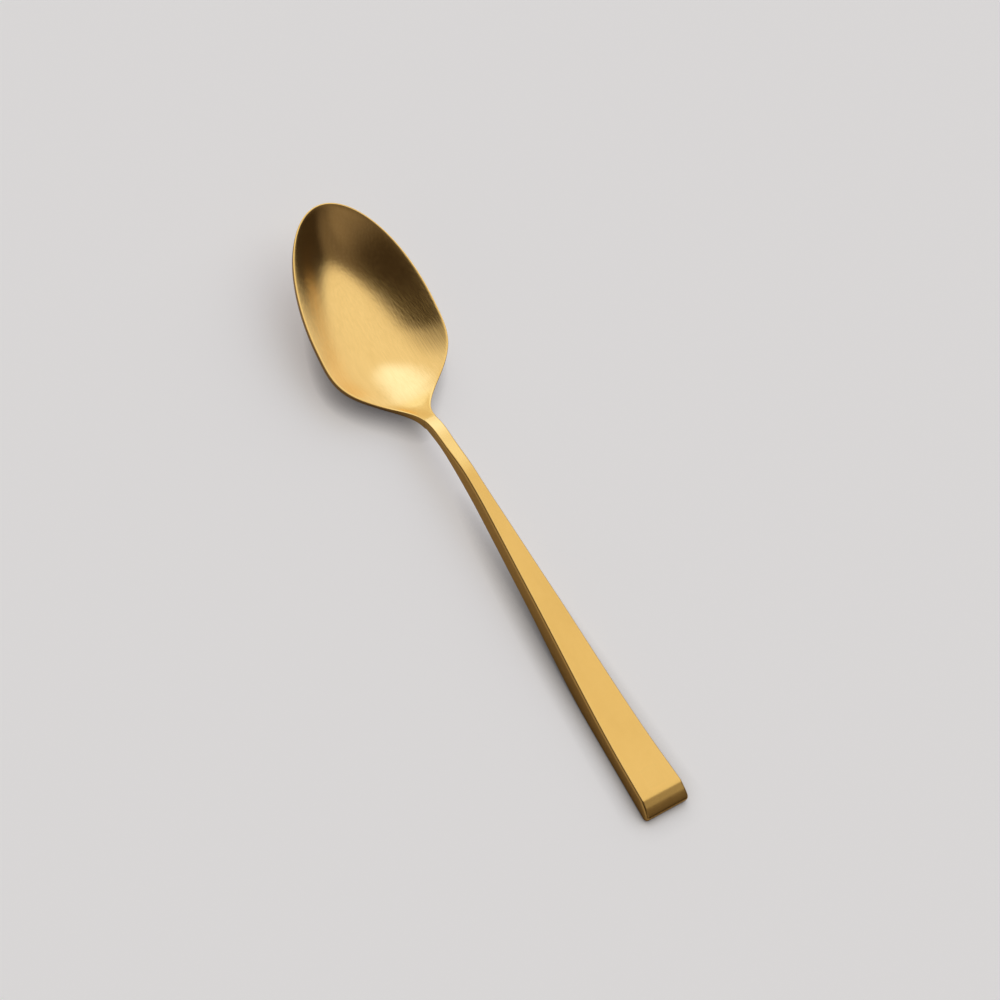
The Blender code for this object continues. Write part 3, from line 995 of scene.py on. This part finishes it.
def gold_finish(name, line_share, line_bump, roughness, smear, sheen_to):
    """Gold-coated steel, with a painted sheen that is full up to one station and gone from another."""
    material = bpy.data.materials.new(name)
    material.use_nodes = True
    tree = material.node_tree
    shader = tree.nodes["Principled BSDF"]
    shader.inputs["Metallic"].default_value = 1.0
    shader.inputs["Anisotropic"].default_value = smear
    lines = place_group(tree, brushed_lines, Fineness=LINES_PER_METRE, Stretch=LINE_STRETCH)
    clouds = place_group(tree, satin_clouds, Fineness=CLOUDS_PER_METRE, Stretch=CLOUD_STRETCH)
    polish = place_group(tree, polished_edges, Fineness=POLISH_PER_METRE, Evenness=POLISH_EVENNESS)
    full_x, end_x = (cad_low.x + station for station in sheen_to)
    # Share of the painted sheen, the paler coat that whitens bright reflections.
    sheen_share = place_group(tree, painted_sheen_zone, Full=full_x, End=end_x)
    uneven = add_math(tree, "ADD", add_math(tree, "MULTIPLY", lines, line_share),
                      add_math(tree, "MULTIPLY", clouds, 1.0 - line_share))
    feed(tree, shader.inputs["Base Color"], gold_coat(tree, uneven, sheen_share, polish))
    add_roughness(tree, shader, uneven, polish, roughness)
    add_brush_marks(tree, shader, lines, line_bump)
    return material


def give_finish(piece, finish):
    """Make a finish the only material of a piece."""
    piece.data.materials.clear()
    piece.data.materials.append(finish)
    print(piece.name, "is finished in", finish.name, "with", len(finish.node_tree.nodes), "nodes")


# The bowl's painted sheen is full up to 7 mm before the neck and gone 4.5 mm before it.
give_finish(bowl, gold_finish(
    "brushed_gold", line_share=0.7, line_bump=0.25, roughness=0.16, smear=0.3,
    sheen_to=(BOWL_LENGTH - 7.0 * MM, BOWL_LENGTH - 4.5 * MM)))

# %% [markdown]
# ## Satin on the handle
# The handle has the same coat on a smoother satin, with hardly a line and softer reflections. Its
# painted sheen, the paler coat that whitens bright reflections, only covers its first millimetres. So
# the same function makes its finish, with other numbers.

# %% The satin finish of the handle
# The handle's painted sheen whitens the reflection on the top of the neck.
give_finish(handle, gold_finish(
    "satin_gold", line_share=0.3, line_bump=0.05, roughness=0.25, smear=0.2,
    sheen_to=(BOWL_LENGTH + 0.5 * MM, BOWL_LENGTH + 9.0 * MM)))

# %% [markdown]
# ## Floor
# The floor is a plain pale sheet, larger than anything the camera or the metal can see. To the camera
# it is lifted to a pale grey, and in the metal it stays a warmer and darker tone. Right beside things
# that lie on it, occlusion paints a contact shade into both its colour and its lift.

# %% Floor
FLOOR_SIZE = 6.0
FLOOR_COLOUR = (0.68, 0.666, 0.623, 1.0)
REFLECTED_COLOUR = (0.50, 0.43, 0.37, 1.0)
CAMERA_LIFT = (0.309, 0.298, 0.302, 1.0)
NO_LIFT = (0.0, 0.0, 0.0, 1.0)
FLOOR_ROUGHNESS = 0.9
FLOOR_SHINE = 0.2
CONTACT_REACH = 5.0 * MM
CONTACT_SAMPLES = 4
bpy.ops.object.select_all(action="DESELECT")
bpy.ops.mesh.primitive_plane_add(size=FLOOR_SIZE, location=(0.0, 0.0, 0.0))
floor = start_piece("floor")
floor_finish = bpy.data.materials.new("pale_floor")
floor_finish.use_nodes = True
floor_tree = floor_finish.node_tree
floor_shader = floor_tree.nodes["Principled BSDF"]
seen_by = floor_tree.nodes.new("ShaderNodeLightPath").outputs
# Painted contact shade: occlusion darkens the floor's colour beside the spoon.
painted_contact_shade = floor_tree.nodes.new("ShaderNodeAmbientOcclusion")
painted_contact_shade.samples = CONTACT_SAMPLES
painted_contact_shade.inputs["Distance"].default_value = CONTACT_REACH
tone = mix_colour(floor_tree, seen_by["Is Glossy Ray"], FLOOR_COLOUR, REFLECTED_COLOUR)
feed(floor_tree, painted_contact_shade.inputs["Color"], tone)
feed(floor_tree, floor_shader.inputs["Base Color"], painted_contact_shade.outputs["Color"])
# The camera's lift is dimmed by the same painted contact shade.
unshaded_lift_share = add_math(floor_tree, "MULTIPLY", seen_by["Is Camera Ray"], painted_contact_shade.outputs["AO"])
lift = mix_colour(floor_tree, unshaded_lift_share, NO_LIFT, CAMERA_LIFT)
feed(floor_tree, floor_shader.inputs["Emission Color"], lift)
floor_shader.inputs["Emission Strength"].default_value = 1.0
floor_shader.inputs["Roughness"].default_value = FLOOR_ROUGHNESS
floor_shader.inputs["Specular IOR Level"].default_value = FLOOR_SHINE
floor.data.materials.append(floor_finish)
print("floor is", FLOOR_SIZE, "m wide")

# %% [markdown]
# ## A room made of soft patches
# Metal shows what is round it, so the light is planned as a room and not as lamps. The room is painted
# on the world with round patches that have soft edges. A patch has a place, which is an angle round
# from the handle's direction and an angle from straight up, and a size, which is the angle where its
# edge starts and the angle where it ends.

# %% Helpers for patches of light


def towards(round_angle, from_up):
    """Direction given by its angle round from +X and its angle from straight up, in degrees."""
    turn, tilt = math.radians(round_angle), math.radians(from_up)
    return Vector((math.sin(tilt) * math.cos(turn), math.sin(tilt) * math.sin(turn), math.cos(tilt)))


def soft_patch(tree, ray, place, size):
    """1 inside a round patch of the room and 0 outside it, with a soft edge."""
    dot = tree.nodes.new("ShaderNodeVectorMath")
    dot.operation = "DOT_PRODUCT"
    feed(tree, dot.inputs[0], ray)
    feed(tree, dot.inputs[1], towards(*place))
    inner, outer = (math.cos(math.radians(angle)) for angle in size)
    return fade(tree, dot.outputs["Value"], outer, inner)


def add_light(tree, base, share, colour):
    """Light of a base colour or socket with a share of another colour added."""
    node = tree.nodes.new("ShaderNodeVectorMath")
    node.operation = "MULTIPLY_ADD"
    for socket, value in zip(node.inputs, (share, colour, base)):
        feed(tree, socket, value)
    return node.outputs["Vector"]


world = bpy.data.worlds.new("soft_studio")
bpy.context.scene.world = world
world.use_nodes = True
room = world.node_tree
ray = room.nodes.new("ShaderNodeTexCoord").outputs["Generated"]
print("world", world.name, "is ready to be painted")

# %% [markdown]
# ## Studio light
# One very large panel stands beyond the tip of the bowl and reaches overhead. It fades out towards the
# viewer, which draws the dark shape in the bowl. A low panel beside the spoon and a weak patch straight
# up fill what it leaves. Its hot middle is bluish, so that gold reflects it nearly white. The rest of
# the room is dim, with two faint walls at the handle's end and a faint glow on the viewer's side.

# %% Paint the room
HIGH_PLACE, HIGH_SIZE = (153.0, 50.0), (61.5, 70.0)
HIGH_NONE_AT_Y, HIGH_FULL_AT_Y = -0.6, -0.05
LOW_PLACE, LOW_SIZE = (102.0, 75.0), (9.0, 22.0)
OVERHEAD_PLACE, OVERHEAD_SIZE = (0.0, 0.0), (0.0, 24.0)
OVERHEAD_SHARE = 0.6
HOT_PLACE, HOT_SIZE = (144.0, 49.0), (2.0, 28.0)
END_WALL_PLACE, END_WALL_SIZE = (-12.0, 59.0), (0.0, 30.0)
SIDE_WALL_PLACE, SIDE_WALL_SIZE = (30.0, 41.0), (0.0, 40.0)
VIEWER_PLACE, VIEWER_SIZE = (270.0, 90.0), (10.0, 48.0)
PANEL_LIGHT = (1.0, 0.995, 0.98)
HOT_LIGHT = (0.30, 0.52, 1.05)
DIM_LIGHT = (0.040, 0.029, 0.021)
WALL_LIGHT = (0.13, 0.115, 0.11)
VIEWER_LIGHT = (0.32, 0.29, 0.26)

off_viewer = fade(room, split_axes(room, ray)["Y"], HIGH_NONE_AT_Y, HIGH_FULL_AT_Y)
high_panel = add_math(room, "MULTIPLY", soft_patch(room, ray, HIGH_PLACE, HIGH_SIZE), off_viewer)
low_panel = soft_patch(room, ray, LOW_PLACE, LOW_SIZE)
overhead = soft_patch(room, ray, OVERHEAD_PLACE, OVERHEAD_SIZE)
panels = add_math(room, "MAXIMUM", high_panel, low_panel)
panels = add_math(room, "MAXIMUM", panels, add_math(room, "MULTIPLY", overhead, OVERHEAD_SHARE))
lit = add_light(room, PANEL_LIGHT, soft_patch(room, ray, HOT_PLACE, HOT_SIZE), HOT_LIGHT)
unlit = add_light(room, DIM_LIGHT, soft_patch(room, ray, END_WALL_PLACE, END_WALL_SIZE), WALL_LIGHT)
unlit = add_light(room, unlit, soft_patch(room, ray, SIDE_WALL_PLACE, SIDE_WALL_SIZE), WALL_LIGHT)
unlit = add_light(room, unlit, soft_patch(room, ray, VIEWER_PLACE, VIEWER_SIZE), VIEWER_LIGHT)
feed(room, room.nodes["Background"].inputs["Color"], mix_colour(room, panels, unlit, lit))
print("room has", len(room.nodes), "nodes")

# %% [markdown]
# ## Camera
# The view is set by where the camera stands round the spoon, how high, how far, and how much it is
# tilted to one side. The lens follows from the width of table that fits in the picture at that
# distance.

# %% Camera
VIEW_ROUND = math.radians(21.20)
VIEW_HEIGHT = math.radians(54.96)
VIEW_TILT = math.radians(39.28)
VIEW_DISTANCE = 800.0 * MM
VIEW_WIDTH = 202.31 * MM
SENSOR_WIDTH = 36.0
AIM = Vector((-1.90, 7.41, 0.0)) * MM
back = Vector((
    math.sin(VIEW_ROUND) * math.cos(VIEW_HEIGHT),
    -math.cos(VIEW_ROUND) * math.cos(VIEW_HEIGHT),
    math.sin(VIEW_HEIGHT)))
level = Vector((math.cos(VIEW_ROUND), math.sin(VIEW_ROUND), 0.0))
upright = back.cross(level)
right = level * math.cos(VIEW_TILT) + upright * math.sin(VIEW_TILT)
up = upright * math.cos(VIEW_TILT) - level * math.sin(VIEW_TILT)
facing = Matrix((right, up, back)).transposed().to_4x4()

bpy.ops.object.camera_add()
camera = bpy.context.object
camera.name = "camera"
camera.matrix_world = Matrix.Translation(AIM + back * VIEW_DISTANCE) @ facing
camera.data.sensor_fit = "HORIZONTAL"
camera.data.sensor_width = SENSOR_WIDTH
camera.data.lens = SENSOR_WIDTH * VIEW_DISTANCE / VIEW_WIDTH
bpy.context.scene.camera = camera
bpy.context.scene.view_settings.view_transform = "Standard"
print("lens is", round(camera.data.lens, 1), "mm")

# %% [markdown]
# ## Handing over
# Each piece rides on the spoon's one body, and the solid that it was shaped from is hidden.

# %% Tie the pieces to the frame and hide the solids
for piece, node, slot in ((bowl, "bowl", "brushed_gold_bowl"), (handle, "handle", "satin_gold_handle")):
    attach(piece, "root")
    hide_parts(node)
